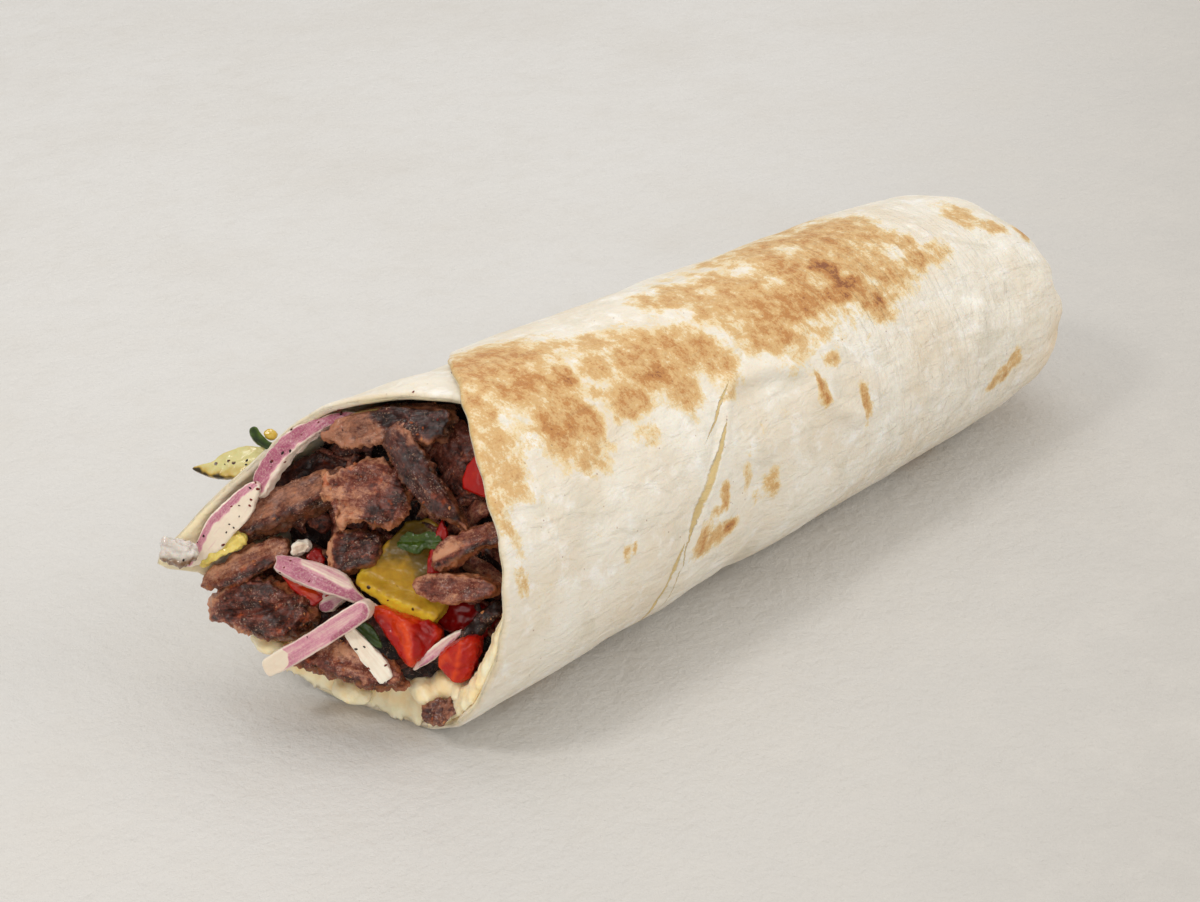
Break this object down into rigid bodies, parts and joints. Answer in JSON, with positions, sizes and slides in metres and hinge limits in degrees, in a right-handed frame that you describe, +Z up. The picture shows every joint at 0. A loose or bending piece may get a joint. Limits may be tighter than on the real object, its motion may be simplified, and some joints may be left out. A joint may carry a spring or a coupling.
{
  "type": "saj wrap",
  "caption": "Saj flatbread rolled tightly round shaved roast meat, red onion, tomato, pepper and hummus, with one open end showing the filling and the other end tucked closed.",
  "frame": {"origin": "middle of the bounding box's underside, on the surface that the wrap rests on", "axes": "+X along the roll from its open mouth to its closed end, so the mouth faces -X; +Z up as it rests; +Y towards the side where the bread's inner lip reaches out"},
  "size_m": [0.2474, 0.0802, 0.0686],
  "materials": {
    "flatbread": "matte floury soft bread, toasted golden brown in patches",
    "hummus": "smooth thick cream, slightly moist",
    "filling": "dark packed meat and salad, moist",
    "meat": "roasted shaved meat, fibrous, moist",
    "meat_dark": "charred roasted meat, glossy with juice",
    "onion": "raw red onion, translucent and moist",
    "onion_white": "white inner onion, moist",
    "tomato": "ripe tomato, wet",
    "pepper": "pickled yellow pepper, wet",
    "cucumber": "pickled cucumber flesh with dark green rind, moist",
    "pickle": "yellow pickle, moist",
    "herb": "fresh green leaf",
    "fat": "white garlic sauce with a moist sparkle",
    "spice": "dry ground spice and charred crumbs"
  },
  "bodies": {
    "root": {"cucumber_rind": "cucumber", "cucumber_slice": "cucumber", "fat_nub": "fat", "filling_core": "filling", "flatbread": "flatbread", "hummus": "hummus", "leaf_low": "herb", "leaf_on_pepper": "herb", "meat_arm": "meat_dark", "meat_behind_arm": "meat", "meat_block": "meat", "meat_centre": "meat", "meat_char": "meat_dark", "meat_curl": "meat", "meat_knuckle": "meat", "meat_ledge": "meat", "meat_left_back": "meat_dark", "meat_low_dark": "meat_dark", "meat_nub": "meat_dark", "meat_oval": "meat", "meat_roof": "meat_dark", "meat_tongue": "meat", "meat_wedge": "meat_dark", "onion_arch": "onion", "onion_baton": "onion", "onion_chunk": "onion", "onion_mid": "onion", "onion_slab": "onion", "onion_strip_white": "onion_white", "onion_thin": "onion", "pepper_yellow": "pepper", "pickle_bit": "cucumber", "pickle_strip": "pickle", "tomato_back": "tomato", "tomato_corner": "tomato", "tomato_flap": "tomato", "tomato_left": "tomato", "tomato_sliver": "tomato", "tomato_wedge": "tomato"}
  },
  "joints": []
}
